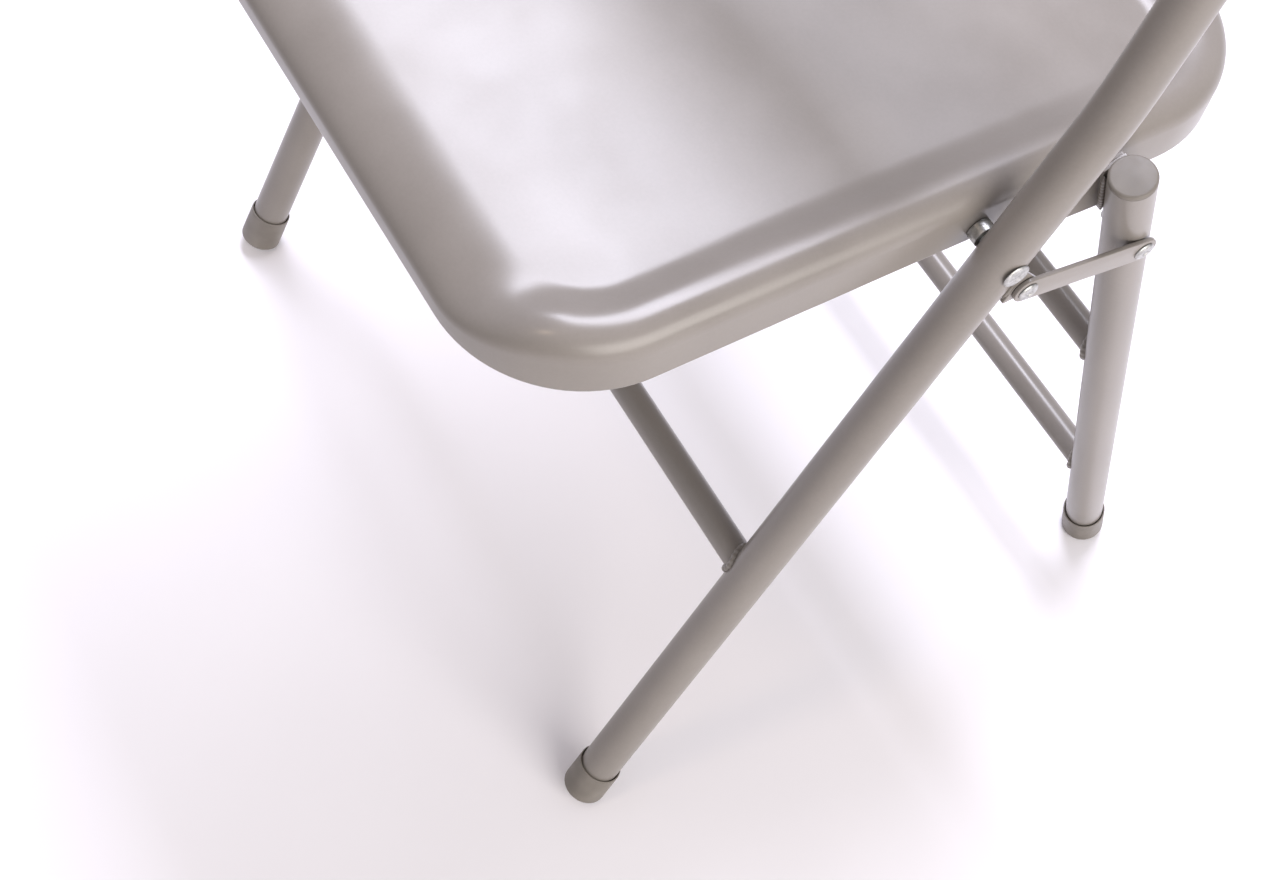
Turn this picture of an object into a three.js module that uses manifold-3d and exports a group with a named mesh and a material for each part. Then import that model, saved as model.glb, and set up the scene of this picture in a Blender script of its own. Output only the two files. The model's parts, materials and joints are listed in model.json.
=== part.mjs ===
// A steel folding chair. Millimetres, +Z up, the sitter faces -Y.
// Left and right are the sitter's own: left is +X.
// Side-view sizes are worked out with y = 0 at the seat's front edge and z = 0 at the floor,
// and the whole chair is then moved so that its footprint is centred on the origin.
import * as THREE from 'three';
import { mergeVertices } from 'three/addons/utils/BufferGeometryUtils.js';
import Module from 'manifold-3d';

const wasm = await Module();
wasm.setup();

// ---------- driving dimensions ----------
const GAP = 0.3; // clearance kept between pieces that touch on the real chair
const SIDES = [['left', 1], ['right', -1]];

const sheet = 1.2; // seat and back steel
const seatWidth = 394;
const seatDepth = 396;
const seatCorner = 66; // plan radius of the seat's corners
const skirtHeight = 20; // upright part of the seat's edge
const rimRadius = 12.5; // rolled edge above the skirt
const rimInset = 37; // from the skirt to the flat panel
const panelHeight = 24.5; // flat panel above the skirt's lower edge
const lipWidth = 8; // flange turned in under the skirt
const seatEdgeHeight = 413; // skirt's lower edge at the front, above the floor
const seatTilt = THREE.MathUtils.degToRad(3); // the seat falls to the rear

const tubeRadius = 11;
const tubeWall = 1.3;
const barRadius = 8;
const barWall = 1.2;
const seatClearance = 6.4; // from the skirt to the leg tubes

const legLean = THREE.MathUtils.degToRad(65.5); // front legs from the floor
const legFootSetback = 40.5; // where the leg's axis meets the floor, behind the seat's front
const backLean = THREE.MathUtils.degToRad(74); // uprights above the seat
const backBendHeight = 490;
const backBendRadius = 180;
const topHeight = 820;
const topCorner = 52;
const frontBarHeight = 195;

const panelBottom = 636; // back rest, heights on the uprights
const panelTop = 754;
const panelEndAngle = THREE.MathUtils.degToRad(14); // how much the back rest is dished
const panelWrap = THREE.MathUtils.degToRad(62); // how far it rolls round each upright
const panelRivetMargin = 24;
const panelRivetRadius = 2.5;
const panelRivetHead = 4.5;
const panelRivetDome = 1.8;
const panelRivetTail = 4; // radius of the spread end inside the tube's front

const pivotAboveEdge = 9; // seat pivot above the skirt's lower edge
const rearPivotBehind = 46; // rear leg pivot behind the seat pivot
const rearPivotDrop = 1;
const rearFootSetback = 400;
const rearLegOffset = 24; // rear leg axis behind its pivot
const rearLegTop = 12; // tube above its pivot
const foldedSpread = THREE.MathUtils.degToRad(1);
const linkPivotBehind = 14; // link pivot behind the front leg's axis
const linkPivotDown = 34; // link pivot on the rear leg, below the rear pivot
const rearBarPlaces = { upper: 175, lower: 330 }; // down the rear legs

const plateThickness = 2.2;
const pivotPlateThickness = 2;
const pivotShank = 3.5;
const linkShank = 3;
const headThickness = 1.5;
const pivotHead = 6.5;
const linkHead = 5;
const linkHalfWidth = 7;
const openPivotPlay = 0.8; // the link's rear hole is this much larger than its rivet, all round
const bracketHalfFoot = 9; // half of the bracket's welded edge, along the leg
const bracketOverlap = 1; // how far the bracket's edge lies inside the tube's outline
const cornerRound = 2; // plates' small corners
const hingeSpacerWidth = 1;
const spacerRadius = 6;
const hingePlateEnd = 10; // radius round the rear pivot
const hingePadHalf = 7; // half width of the pad welded to the rear leg
const hingePadTopMargin = 4; // pad's top edge below the leg's end
const hingePadBottomMargin = 3; // pad's bottom edge above the link rivet's head
const hingePadSunk = 1; // how far the pad runs into its plate
const pivotPlateHalf = 7;
const pivotPlateEnd = 12; // plate beyond each pivot
const stopRadius = 3;
const stopReach = 20; // stop stud ahead of the rear pivot
const stopShoulder = 1; // step between the stud and its riveted shank
const stopBoss = 2.5; // plate round the stud
const stopInnerReach = 2; // stud's end inside the skirt

const capWall = 1.2;
const capFloor = 3;
const capLength = 25;
const capEdge = 3;
const capSink = 0.8; // how much of the cap's edge is worn flat on the floor
const plugFlange = 2.5;
const plugDepth = 14;
const plugEase = 1.5; // chamfer of the plug's rim

// How finely round shapes are drawn.
const cornerSegments = 4; // per quarter turn of the seat's corners
const bendSteps = [3, 7, 7, 3]; // along each bend of the front tube
const overcut = 2; // how far a drill runs past the wall it cuts

// ---------- places worked out from them ----------
const skirtX = seatWidth / 2;
const panelRivetHeights = [panelBottom + panelRivetMargin, panelTop - panelRivetMargin];
const legX = skirtX + seatClearance + tubeRadius;
const tubeInnerX = legX - tubeRadius;
const tubeOuterX = legX + tubeRadius;

const sideVector = (angle) => new THREE.Vector3(0, Math.cos(angle), Math.sin(angle));
const turned = (v) => new THREE.Vector3(0, -v.z, v.y); // a quarter turn, Y towards Z
const legUp = sideVector(legLean);
const legBehind = sideVector(legLean - Math.PI / 2);
const backUp = sideVector(backLean);
const backBehind = sideVector(backLean - Math.PI / 2);

const legPointAt = (height) => new THREE.Vector3(0, legFootSetback + height / Math.tan(legLean), height);
const seatPivot = legPointAt(
  (seatEdgeHeight + pivotAboveEdge / Math.cos(seatTilt) - Math.tan(seatTilt) * legFootSetback)
  / (1 + Math.tan(seatTilt) / Math.tan(legLean)));
const backBend = legPointAt(backBendHeight);
const backPointAt = (height) => backBend.clone().addScaledVector(backUp, (height - backBend.z) / backUp.z);

// A point of the seat, (rearward, up) from its pivot, with the seat folded by an angle.
function seatPoint(rearward, up, folded) {
  const along = sideVector(-seatTilt - folded);
  return seatPivot.clone().addScaledVector(along, rearward).addScaledVector(turned(along), up);
}
const seatFold = Math.PI - legLean - seatTilt;
const seatFront = -(seatPivot.y * Math.cos(seatTilt) - (seatPivot.z - seatEdgeHeight) * Math.sin(seatTilt));
const skirtBottom = -pivotAboveEdge;

// The rear leg: its foot's place and its pivot give its direction; folded, it lies along the front leg.
const rearPivot = seatPoint(rearPivotBehind, -rearPivotDrop, 0);
const footReach = new THREE.Vector3(0, rearFootSetback, 0).sub(rearPivot);
const rearLegLength = Math.sqrt(footReach.lengthSq() - rearLegOffset ** 2);
const rearLegAngle = Math.atan2(footReach.z, footReach.y) - Math.atan2(rearLegOffset, rearLegLength);
const rearDown = sideVector(rearLegAngle);
const rearBehind = turned(rearDown);
function rearLegPoint(down, behind) {
  return rearPivot.clone().addScaledVector(rearDown, down).addScaledVector(rearBehind, behind);
}

// The link: its front pivot is as far from the rear leg's link pivot open as folded.
const foldedRearPivot = seatPoint(rearPivotBehind, -rearPivotDrop, seatFold);
const foldedDown = sideVector(legLean - Math.PI + foldedSpread);
const linkRear = rearLegPoint(linkPivotDown, rearLegOffset);
const foldedLinkRear = foldedRearPivot.clone()
  .addScaledVector(foldedDown, linkPivotDown)
  .addScaledVector(turned(foldedDown), rearLegOffset);
function linkFrontPivot() {
  const start = seatPivot.clone().addScaledVector(legBehind, linkPivotBehind);
  const chord = foldedLinkRear.clone().sub(linkRear);
  const middle = linkRear.clone().add(foldedLinkRear).multiplyScalar(0.5);
  const down = start.clone().sub(middle).dot(chord) / legUp.dot(chord);
  return start.addScaledVector(legUp, -down);
}
const linkFront = linkFrontPivot();

// ---------- helpers ----------
function steel(colour, roughness, metalness = 0) {
  return new THREE.MeshStandardMaterial({ color: colour, roughness, metalness });
}
const paint = steel(0xa09b95, 0.35);
const zinc = steel(0xb8b8b4, 0.3, 0.9);
const plastic = steel(0x77736d, 0.6);

function toManifold(geometry) {
  const bare = geometry.clone();
  bare.deleteAttribute('normal');
  bare.deleteAttribute('uv');
  const merged = mergeVertices(bare, 1e-4);
  return new wasm.Manifold(new wasm.Mesh({
    numProp: 3,
    vertProperties: Float32Array.from(merged.attributes.position.array),
    triVerts: Uint32Array.from(merged.index.array),
  }));
}

function toGeometry(manifold) {
  const mesh = manifold.getMesh();
  const geometry = new THREE.BufferGeometry();
  geometry.setAttribute('position', new THREE.BufferAttribute(Float32Array.from(mesh.vertProperties), 3));
  geometry.setIndex(Array.from(mesh.triVerts));
  geometry.computeVertexNormals();
  return geometry;
}

function cut(geometry, tools) {
  return toGeometry(tools.reduce((body, tool) => body.subtract(toManifold(tool)), toManifold(geometry)));
}

function join(geometries) {
  return toGeometry(geometries.map(toManifold).reduce((body, more) => body.add(more)));
}

const atX = (point, x) => new THREE.Vector3(x, point.y, point.z);

// A round bar between two points.
function rod(from, to, radius, facets = 16) {
  const along = to.clone().sub(from);
  const turn = new THREE.Quaternion().setFromUnitVectors(new THREE.Vector3(0, 1, 0), along.clone().normalize());
  return new THREE.CylinderGeometry(radius, radius, along.length(), facets)
    .applyQuaternion(turn)
    .translate(...from.clone().addScaledVector(along, 0.5).toArray());
}

// A bar along X through a point of the side view.
function crossRod(point, fromX, toX, radius, facets) {
  return rod(atX(point, fromX), atX(point, toX), radius, facets);
}

function ringSection(radius, wall) {
  const section = new THREE.Shape().absarc(0, 0, radius, 0, 2 * Math.PI);
  section.holes.push(new THREE.Path().absarc(0, 0, radius - wall, 0, 2 * Math.PI));
  return section;
}

// The centre line of a bent tube: straight runs between corners, each corner rounded to its radius.
class BentLine extends THREE.Curve {
  constructor(corners, radii, stepsPerBend) {
    super();
    this.stations = [];
    const last = corners.length - 1;
    corners.forEach((corner, i) => {
      if (i === 0 || i === last) {
        const from = corners[Math.max(i - 1, 0)];
        const to = corners[Math.min(i + 1, last)];
        this.stations.push([corner, to.clone().sub(from).normalize()]);
        return;
      }
      const before = corner.clone().sub(corners[i - 1]).normalize();
      const after = corners[i + 1].clone().sub(corner).normalize();
      const half = before.angleTo(after) / 2;
      const inward = after.clone().sub(before).normalize();
      const centre = corner.clone().addScaledVector(inward, radii[i - 1] / Math.cos(half));
      const bisector = before.clone().add(after).normalize();
      for (let k = 0; k <= stepsPerBend[i - 1]; k += 1) {
        const turn = half * (2 * k / stepsPerBend[i - 1] - 1);
        const point = centre.clone()
          .addScaledVector(inward, -radii[i - 1] * Math.cos(turn))
          .addScaledVector(bisector, radii[i - 1] * Math.sin(turn));
        const tangent = bisector.clone().multiplyScalar(Math.cos(turn))
          .addScaledVector(inward, Math.sin(turn));
        this.stations.push([point, tangent]);
      }
    });
  }

  station(u) {
    return this.stations[Math.round(u * (this.stations.length - 1))];
  }

  getPointAt(u) {
    return this.station(u)[0].clone();
  }

  getTangentAt(u) {
    return this.station(u)[1].clone();
  }
}

function tubeAlong(line, radius, wall, curveSegments = 8) {
  return new THREE.ExtrudeGeometry(ringSection(radius, wall), {
    extrudePath: line, steps: line.stations.length - 1, curveSegments,
  });
}

const straightTube = (from, to, radius, wall) => tubeAlong(new BentLine([from, to], [], []), radius, wall);

// A flat plate in the side plane: the outline holds (y, z) points, and fromX < toX are its two faces.
function sidePlate(outline, fromX, toX, holes = [], curveSegments = 6) {
  outline.holes.push(...holes);
  return new THREE.ExtrudeGeometry(outline, { depth: toX - fromX, bevelEnabled: false, curveSegments })
    .applyMatrix4(new THREE.Matrix4().makeBasis(
      new THREE.Vector3(0, 1, 0), new THREE.Vector3(0, 0, 1), new THREE.Vector3(1, 0, 0)))
    .translate(fromX, 0, 0);
}

const roundHole = (point, radius) => new THREE.Path().absarc(point.y, point.z, radius, 0, 2 * Math.PI, true);

// The outline round a row of discs, given counter-clockwise as [centre, radius].
function discHull(discs) {
  const outline = new THREE.Shape();
  discs.forEach(([centre, radius], i) => {
    const [before] = discs[(i + discs.length - 1) % discs.length];
    const [after] = discs[(i + 1) % discs.length];
    const angleIn = Math.atan2(centre.z - before.z, centre.y - before.y) - Math.PI / 2;
    let angleOut = Math.atan2(after.z - centre.z, after.y - centre.y) - Math.PI / 2;
    while (angleOut < angleIn) angleOut += 2 * Math.PI;
    outline.absarc(centre.y, centre.z, radius, angleIn, angleOut);
  });
  return outline;
}

// Mirrors a geometry made for the left side on to the right, keeping its faces outward.
function onSide(geometry, sign) {
  if (sign > 0) return geometry;
  const mirrored = geometry.clone().scale(-1, 1, 1);
  const flat = mirrored.index ? mirrored.toNonIndexed() : mirrored;
  const position = flat.attributes.position;
  for (let i = 0; i < position.count; i += 3) {
    const second = new THREE.Vector3().fromBufferAttribute(position, i + 1);
    const third = new THREE.Vector3().fromBufferAttribute(position, i + 2);
    position.setXYZ(i + 1, ...third.toArray());
    position.setXYZ(i + 2, ...second.toArray());
  }
  flat.computeVertexNormals();
  return flat;
}

// A rivet along X on the left side: a domed head at the outer end and a flat one inside.
function rivet(point, innerX, outerX, shank, head) {
  const shankLength = outerX - innerX;
  const profile = [
    [0, -headThickness], [head - 0.6, -headThickness], [head, 0], [shank, 0],
    [shank, shankLength], [head, shankLength], [head * 0.75, shankLength + headThickness * 0.8],
    [0, shankLength + headThickness],
  ].map(([r, h]) => new THREE.Vector2(r, h));
  return new THREE.LatheGeometry(profile, 14)
    .rotateZ(-Math.PI / 2)
    .translate(innerX, point.y, point.z);
}

function washer(point, fromX, toX, bore, radius) {
  const profile = [[bore, 0], [radius, 0], [radius, toX - fromX], [bore, toX - fromX], [bore, 0]]
    .map(([r, h]) => new THREE.Vector2(r, h));
  return new THREE.LatheGeometry(profile, 14).rotateZ(-Math.PI / 2).translate(fromX, point.y, point.z);
}

function named(name, geometry, material) {
  const mesh = new THREE.Mesh(geometry, material);
  mesh.name = name;
  return mesh;
}

function sidePair(group, name, geometry, material) {
  for (const [side, sign] of SIDES) group.add(named(`${name}_${side}`, onSide(geometry, sign), material));
}

// ---------- layers beside the seat, from the skirt outward (left side) ----------
const pivotPlateX = [skirtX - sheet - GAP - pivotPlateThickness, skirtX - sheet - GAP];
const pivotTailX = pivotPlateX[0] - GAP;
const seatSpacerX = [skirtX + GAP, tubeInnerX - GAP];
const hingeSpacerX = [skirtX + GAP, skirtX + GAP + hingeSpacerWidth];
const hingePlateX = [hingeSpacerX[1] + GAP, hingeSpacerX[1] + GAP + plateThickness];
const hingePadX = tubeInnerX - GAP;
const hingeHeadX = hingePlateX[1] + GAP;
const outerHeadX = tubeOuterX + GAP;
const linkX = [tubeOuterX + GAP, tubeOuterX + GAP + plateThickness];
const linkHeadX = linkX[1] + GAP;
const bracketX = [tubeOuterX - plateThickness, tubeOuterX];

// ---------- front frame ----------
const capRadius = tubeRadius + GAP + capWall;
function footLift(lean) {
  // Distance up the leg's axis from the floor to the cap's end, with the cap's round edge on the floor.
  return ((capRadius - capEdge) * Math.cos(lean) + capEdge - capSink) / Math.sin(lean) - capEdge;
}

function footCap(floorPoint, up, lean) {
  const inner = tubeRadius + GAP;
  const edge = [0, 30, 60, 90].map(THREE.MathUtils.degToRad)
    .map((a) => [capRadius - capEdge + capEdge * Math.sin(a), capEdge - capEdge * Math.cos(a)]);
  const profile = [[0, 0], ...edge, [capRadius, capLength - 0.5], [capRadius - 0.4, capLength],
    [inner, capLength], [inner, capFloor], [0, capFloor]].map(([r, h]) => new THREE.Vector2(r, h));
  const cup = new THREE.LatheGeometry(profile, 24)
    .applyQuaternion(new THREE.Quaternion().setFromUnitVectors(new THREE.Vector3(0, 1, 0), up))
    .translate(...floorPoint.clone().addScaledVector(up, footLift(lean)).toArray());
  const size = 8 * capRadius;
  const belowFloor = new THREE.BoxGeometry(size, size, size).translate(floorPoint.x, floorPoint.y, -size / 2);
  return cut(cup, [belowFloor]);
}

const tubeEndLift = (lean) => footLift(lean) + capFloor + GAP;

function frontFrameTube() {
  const start = atX(legPointAt(0).addScaledVector(legUp, tubeEndLift(legLean)), legX);
  const bend = atX(backBend, legX);
  const top = atX(backPointAt(topHeight - tubeRadius), legX);
  const flip = (p) => new THREE.Vector3(-p.x, p.y, p.z);
  const line = new BentLine(
    [start, bend, top, flip(top), flip(bend), flip(start)],
    [backBendRadius, topCorner, topCorner, backBendRadius], bendSteps);
  const holes = [];
  for (const [, sign] of SIDES) {
    const [from, to] = [sign * (tubeInnerX - overcut), sign * (tubeOuterX + overcut)];
    holes.push(crossRod(seatPivot, from, to, pivotShank + GAP));
    for (const height of panelRivetHeights) holes.push(panelRivetHole(sign, height));
  }
  return cut(tubeAlong(line, tubeRadius, tubeWall), holes);
}

function panelRivetHole(sign, height) {
  const centre = atX(backPointAt(height), sign * legX);
  const reach = 3 * tubeRadius;
  return rod(centre.clone().addScaledVector(backBehind, -reach),
    centre.clone().addScaledVector(backBehind, reach), panelRivetRadius + GAP, 14);
}

function crossBar(point, legDirection) {
  const bar = straightTube(atX(point, -legX), atX(point, legX), barRadius, barWall);
  const reach = 4 * barRadius;
  const legs = SIDES.map(([, sign]) => {
    const centre = atX(point, sign * legX);
    return rod(centre.clone().addScaledVector(legDirection, -reach),
      centre.clone().addScaledVector(legDirection, reach), tubeRadius + GAP, 32);
  });
  const beyond = SIDES.map(([, sign]) => new THREE.BoxGeometry(2 * tubeRadius, 2 * reach, 2 * reach)
    .translate(sign * (legX + tubeRadius), point.y, point.z));
  return cut(bar, [...legs, ...beyond]);
}

function linkBracket() {
  const across = Math.sqrt(tubeRadius ** 2 - (bracketX[0] - legX) ** 2) + GAP;
  const front = linkFront.clone().addScaledVector(legBehind, across - linkPivotBehind + bracketOverlap);
  const ends = [-1, 1].map((way) => front.clone().addScaledVector(legUp, way * bracketHalfFoot));
  const outline = discHull([
    [ends[0], bracketOverlap], [linkFront, linkHalfWidth], [ends[1], bracketOverlap]]);
  return sidePlate(outline, ...bracketX, [roundHole(linkFront, linkShank + GAP)]);
}

function backPanel() {
  const wrapRadius = tubeRadius + GAP;
  const sine = Math.sin(panelEndAngle);
  const dish = (legX - (wrapRadius + sheet / 2) * sine) / sine;
  // The dished middle is an arc about a centre far in front; the ends roll round the uprights.
  const middleY = -(wrapRadius + sheet / 2) * Math.cos(panelEndAngle) - dish * Math.cos(panelEndAngle);
  const outline = new THREE.Shape();
  const endFrom = -Math.PI / 2 - panelEndAngle;
  const endTo = -Math.PI / 2 + panelWrap;
  const [dishFrom, dishTo] = [Math.PI / 2 + panelEndAngle, Math.PI / 2 - panelEndAngle];
  outline.absarc(0, middleY, dish + sheet / 2, dishFrom, dishTo, true);
  outline.absarc(legX, 0, wrapRadius, endFrom, endTo, false);
  outline.absarc(legX, 0, wrapRadius + sheet, endTo, endFrom, true);
  outline.absarc(0, middleY, dish - sheet / 2, dishTo, dishFrom, false);
  outline.absarc(-legX, 0, wrapRadius + sheet, Math.PI - endFrom, Math.PI - endTo, true);
  outline.absarc(-legX, 0, wrapRadius, Math.PI - endTo, Math.PI - endFrom, false);
  const bottom = backPointAt(panelBottom);
  const depth = backPointAt(panelTop).sub(bottom).length();
  const panel = new THREE.ExtrudeGeometry(outline, { depth, bevelEnabled: false, curveSegments: 10 })
    .applyMatrix4(new THREE.Matrix4().makeBasis(new THREE.Vector3(1, 0, 0), backBehind, backUp))
    .translate(0, bottom.y, bottom.z);
  const holes = SIDES.flatMap(([, sign]) => panelRivetHeights.map((height) => panelRivetHole(sign, height)));
  return cut(panel, holes);
}

function panelRivet(sign, height) {
  const reach = tubeRadius + GAP + sheet + GAP;
  const tail = tubeRadius + GAP;
  const profile = [[0, -tail - headThickness], [panelRivetTail, -tail - headThickness],
    [panelRivetTail, -tail], [panelRivetRadius, -tail], [panelRivetRadius, reach], [panelRivetHead, reach],
    [panelRivetHead * 0.7, reach + panelRivetDome * 0.8], [0, reach + panelRivetDome]]
    .map(([r, h]) => new THREE.Vector2(r, h));
  const centre = atX(backPointAt(height), sign * legX);
  return new THREE.LatheGeometry(profile, 12)
    .applyQuaternion(new THREE.Quaternion().setFromUnitVectors(
      new THREE.Vector3(0, 1, 0), backBehind.clone().negate()))
    .translate(...centre.toArray());
}

function frontFrame() {
  const group = new THREE.Group();
  group.add(named('front_frame_tube', frontFrameTube(), paint));
  group.add(named('front_crossbar', crossBar(legPointAt(frontBarHeight), legUp), paint));
  group.add(named('back_panel', backPanel(), paint));
  for (const [side, sign] of SIDES) {
    panelRivetHeights.forEach((height, i) => {
      group.add(named(`back_rivet_${['lower', 'upper'][i]}_${side}`, panelRivet(sign, height), zinc));
    });
  }
  sidePair(group, 'front_foot_cap', footCap(atX(legPointAt(0), legX), legUp, legLean), plastic);
  sidePair(group, 'seat_pivot_rivet', rivet(seatPivot, pivotTailX, outerHeadX, pivotShank, pivotHead), zinc);
  sidePair(group, 'seat_pivot_spacer',
    washer(seatPivot, ...seatSpacerX, pivotShank + GAP, spacerRadius), zinc);
  sidePair(group, 'link_bracket', linkBracket(), paint);
  sidePair(group, 'link_front_rivet',
    rivet(linkFront, bracketX[0] - GAP, linkHeadX, linkShank, linkHead), zinc);
  return group;
}

// ---------- seat, in its own frame: origin on its pivot, y rearward, z up ----------
function seatOutline(inset) {
  const halfWidth = skirtX - inset;
  const front = seatFront + inset;
  const rear = seatFront + seatDepth - inset;
  const radius = Math.max(seatCorner - inset, 2);
  return new THREE.Shape()
    .absarc(halfWidth - radius, front + radius, radius, -Math.PI / 2, 0)
    .absarc(halfWidth - radius, rear - radius, radius, 0, Math.PI / 2)
    .absarc(-halfWidth + radius, rear - radius, radius, Math.PI / 2, Math.PI)
    .absarc(-halfWidth + radius, front + radius, radius, Math.PI, 1.5 * Math.PI);
}

function prism(inset, from, to) {
  return new THREE.ExtrudeGeometry(seatOutline(inset), {
    depth: to - from, bevelEnabled: false, curveSegments: cornerSegments,
  }).translate(0, 0, from);
}

// The pressed block with a rolled top edge, less the dish that its panel lies in.
function pressedBlock(inset, bottom) {
  const crest = skirtBottom + skirtHeight + rimRadius - inset;
  const roll = rimRadius - inset;
  const block = toManifold(new THREE.ExtrudeGeometry(seatOutline(rimRadius), {
    depth: crest - roll - bottom - roll, bevelThickness: roll, bevelSize: roll, bevelSegments: 4,
    curveSegments: cornerSegments,
  }).translate(0, 0, bottom + roll));
  const squareFoot = toManifold(prism(inset, bottom, bottom + roll + 1));
  const panel = skirtBottom + panelHeight - inset;
  const rise = crest - panel;
  const slope = rimInset - rimRadius;
  const dish = toManifold(new THREE.ExtrudeGeometry(seatOutline(rimInset), {
    depth: 20, bevelThickness: rise, bevelSize: slope, bevelSegments: 1, curveSegments: cornerSegments,
  }).translate(0, 0, panel + rise));
  return block.add(squareFoot).subtract(dish);
}

const pivotPoints = [[0, 0], [rearPivotBehind, -rearPivotDrop]];
function pivotHoles(radius) {
  return pivotPoints.flatMap(([y, z]) => SIDES.map(([, sign]) => (
    crossRod(new THREE.Vector3(0, y, z), sign * (skirtX - lipWidth), sign * (skirtX + overcut), radius))));
}

function seatPan() {
  const outside = pressedBlock(0, skirtBottom);
  const inside = pressedBlock(sheet, skirtBottom + sheet);
  const mouth = toManifold(prism(lipWidth, skirtBottom - overcut, skirtBottom + 2 * sheet));
  return cut(toGeometry(outside.subtract(inside).subtract(mouth)), pivotHoles(pivotShank + GAP));
}

function pivotPlate() {
  const [front, rear] = pivotPoints.map(([y, z]) => new THREE.Vector3(0, y, z));
  const outline = new THREE.Shape()
    .moveTo(front.y - pivotPlateEnd, front.z - pivotPlateHalf)
    .lineTo(rear.y + pivotPlateEnd, front.z - pivotPlateHalf)
    .lineTo(rear.y + pivotPlateEnd, front.z + pivotPlateHalf)
    .lineTo(front.y - pivotPlateEnd, front.z + pivotPlateHalf);
  return sidePlate(outline, ...pivotPlateX, [front, rear].map((p) => roundHole(p, pivotShank + GAP)));
}

function seat() {
  const group = new THREE.Group();
  group.position.copy(seatPivot);
  group.rotation.x = -seatTilt;
  const rear = new THREE.Vector3(0, rearPivotBehind, -rearPivotDrop);
  group.add(named('seat_pan', seatPan(), paint));
  sidePair(group, 'pivot_plate', pivotPlate(), paint);
  sidePair(group, 'rear_pivot_rivet', rivet(rear, pivotTailX, hingeHeadX, pivotShank, pivotHead), zinc);
  sidePair(group, 'rear_pivot_washer', washer(rear, ...hingeSpacerX, pivotShank + GAP, spacerRadius), zinc);
  return group;
}

// ---------- rear frame ----------
const stopPoint = seatPoint(rearPivotBehind - stopReach, skirtBottom - GAP - stopRadius, 0);

function hingePlate() {
  const padTop = -rearLegTop + hingePadTopMargin;
  const padBottom = linkPivotDown - linkHead - hingePadBottomMargin;
  const near = rearLegOffset - hingePadHalf + cornerRound;
  const far = rearLegOffset + hingePadHalf - cornerRound;
  const outline = discHull([
    [rearPivot, hingePlateEnd],
    [stopPoint, stopRadius + stopBoss],
    [rearLegPoint(padBottom - cornerRound, near), cornerRound],
    [rearLegPoint(padBottom - cornerRound, far), cornerRound],
    [rearLegPoint(padTop + cornerRound, far), cornerRound],
  ]);
  const plate = sidePlate(outline, ...hingePlateX,
    [roundHole(rearPivot, pivotShank + GAP), roundHole(stopPoint, stopRadius - stopShoulder + GAP)]);
  const padFrom = hingePlateX[1] - hingePadSunk;
  const pad = new THREE.BoxGeometry(hingePadX - padFrom, 2 * hingePadHalf, padBottom - padTop)
    .rotateX(rearLegAngle + Math.PI / 2)
    .translate((hingePadX + padFrom) / 2, 0, 0);
  const middle = rearLegPoint((padTop + padBottom) / 2, rearLegOffset);
  pad.translate(0, middle.y, middle.z);
  return join([plate, pad]);
}

function stopStud() {
  const inner = skirtX - sheet - stopInnerReach;
  const shoulder = hingePlateX[0] - GAP;
  const outer = hingePlateX[1] + GAP;
  const shank = stopRadius - stopShoulder;
  const head = stopRadius + stopShoulder;
  const profile = [[0, inner], [stopRadius, inner], [stopRadius, shoulder], [shank, shoulder],
    [shank, outer], [head, outer], [head, outer + 1], [0, outer + 1.2]]
    .map(([r, h]) => new THREE.Vector2(r, h));
  return new THREE.LatheGeometry(profile, 12).rotateZ(-Math.PI / 2).translate(0, stopPoint.y, stopPoint.z);
}

function rearLeg() {
  const lean = -rearLegAngle;
  const top = atX(rearLegPoint(-rearLegTop, rearLegOffset), legX);
  const foot = atX(rearLegPoint(rearLegLength - tubeEndLift(lean), rearLegOffset), legX);
  const tube = straightTube(foot, top, tubeRadius, tubeWall);
  return cut(tube, [crossRod(linkRear, tubeInnerX - overcut, tubeOuterX + overcut, linkShank + GAP)]);
}

function rearPlug() {
  const inner = tubeRadius - tubeWall - GAP;
  const profile = [[0, -plugDepth], [inner, -plugDepth], [inner, GAP], [tubeRadius, GAP],
    [tubeRadius, plugFlange * 0.6], [tubeRadius - plugEase, plugFlange], [0, plugFlange]]
    .map(([r, h]) => new THREE.Vector2(r, h));
  const end = atX(rearLegPoint(-rearLegTop, rearLegOffset), legX);
  return new THREE.LatheGeometry(profile, 20)
    .applyQuaternion(new THREE.Quaternion().setFromUnitVectors(
      new THREE.Vector3(0, 1, 0), rearDown.clone().negate()))
    .translate(...end.toArray());
}

function rearFrame() {
  const group = new THREE.Group();
  const floorPoint = rearLegPoint(rearLegLength, rearLegOffset);
  sidePair(group, 'rear_leg_tube', rearLeg(), paint);
  for (const [name, down] of Object.entries(rearBarPlaces)) {
    group.add(named(`rear_crossbar_${name}`, crossBar(rearLegPoint(down, rearLegOffset), rearDown), paint));
  }
  sidePair(group, 'hinge_plate', hingePlate(), paint);
  sidePair(group, 'stop_stud', stopStud(), zinc);
  sidePair(group, 'rear_foot_cap',
    footCap(atX(floorPoint, legX), rearDown.clone().negate(), -rearLegAngle), plastic);
  sidePair(group, 'rear_leg_plug', rearPlug(), plastic);
  sidePair(group, 'link_rear_rivet', rivet(linkRear, tubeInnerX - GAP, linkHeadX, linkShank, linkHead), zinc);
  return group;
}

// ---------- links between the front and rear frames ----------
function foldingLink() {
  const outline = discHull([[linkFront, linkHalfWidth], [linkRear, linkHalfWidth]]);
  return sidePlate(outline, ...linkX,
    [roundHole(linkFront, linkShank + GAP), roundHole(linkRear, linkShank + openPivotPlay)], 8);
}

function links() {
  const group = new THREE.Group();
  sidePair(group, 'folding_link', foldingLink(), paint);
  return group;
}

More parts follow.
